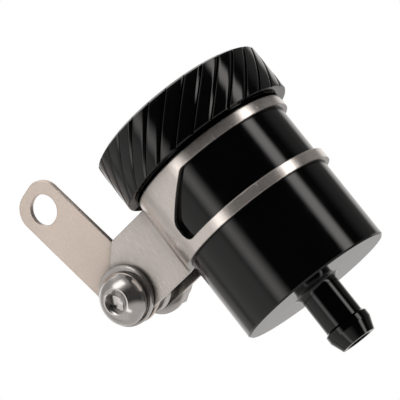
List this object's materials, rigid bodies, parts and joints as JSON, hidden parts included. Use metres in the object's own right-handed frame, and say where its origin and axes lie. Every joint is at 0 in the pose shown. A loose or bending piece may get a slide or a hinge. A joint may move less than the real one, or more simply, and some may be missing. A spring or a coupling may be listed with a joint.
{
  "type": "hydraulic fluid reservoir with clamp bracket",
  "caption": "Small cylindrical brake or clutch fluid reservoir with a grooved screw cap and hose spigot, held in a folded clamp bracket that pivots on a flat mounting strap.",
  "frame": {"origin": "centre of the mounting strap's fixing hole, midway through the strap's thickness", "axes": "+Z along the reservoir's axis from the hose spigot towards the cap; +Y along the clamp bolt from its head towards its nut; +X from the bolt towards the reservoir"},
  "size_m": [0.0599, 0.0375, 0.0655],
  "materials": {
    "black_anodised": "polished black anodised",
    "stainless_sheet": "fine brushed stainless sheet",
    "strap_stainless": "satin stainless strap",
    "polished_stainless": "polished stainless hardware",
    "black_rubber": "soft moulded rubber",
    "nylon_white": "natural nylon",
    "acetal_black": "satin moulded"
  },
  "bodies": {
    "strap": {"mounting_strap": "strap_stainless"},
    "clamp": {"clamp_bracket": "stainless_sheet", "clamp_bolt": "polished_stainless", "lock_washer": "polished_stainless", "flat_washers": "polished_stainless", "spacer_sleeve": "polished_stainless", "lock_nut": "polished_stainless", "nut_insert": "nylon_white"},
    "reservoir": {"reservoir_body": "black_anodised", "diaphragm": "black_rubber"},
    "plate": {"slip_plate": "acetal_black"},
    "cap": {"cap": "black_anodised"}
  },
  "joints": [
    {"name": "clamp_swivel", "type": "hinge", "parent": "strap", "child": "clamp", "pos_m": [0.0043, 0.00385, -0.02488], "axis": [0, 1, 0], "range_deg": [-23.5, 192]},
    {"name": "reservoir_turn", "type": "hinge", "parent": "clamp", "child": "reservoir", "pos_m": [0.03535, 0.00385, -0.04718], "axis": [0, 0, 1], "continuous": true},
    {"name": "cap_lift", "type": "slide", "parent": "reservoir", "child": "plate", "axis": [0, 0, 1], "range_m": [0, 0.01]},
    {"name": "cap_turn", "type": "hinge", "parent": "plate", "child": "cap", "pos_m": [0.03535, 0.00385, -0.00718], "axis": [0, 0, 1], "range_deg": [0, 1800]}
  ],
  "couplings": [
    {"joint": "cap_lift", "follows": "cap_turn", "m_per_rad": 0.00031831}
  ]
}
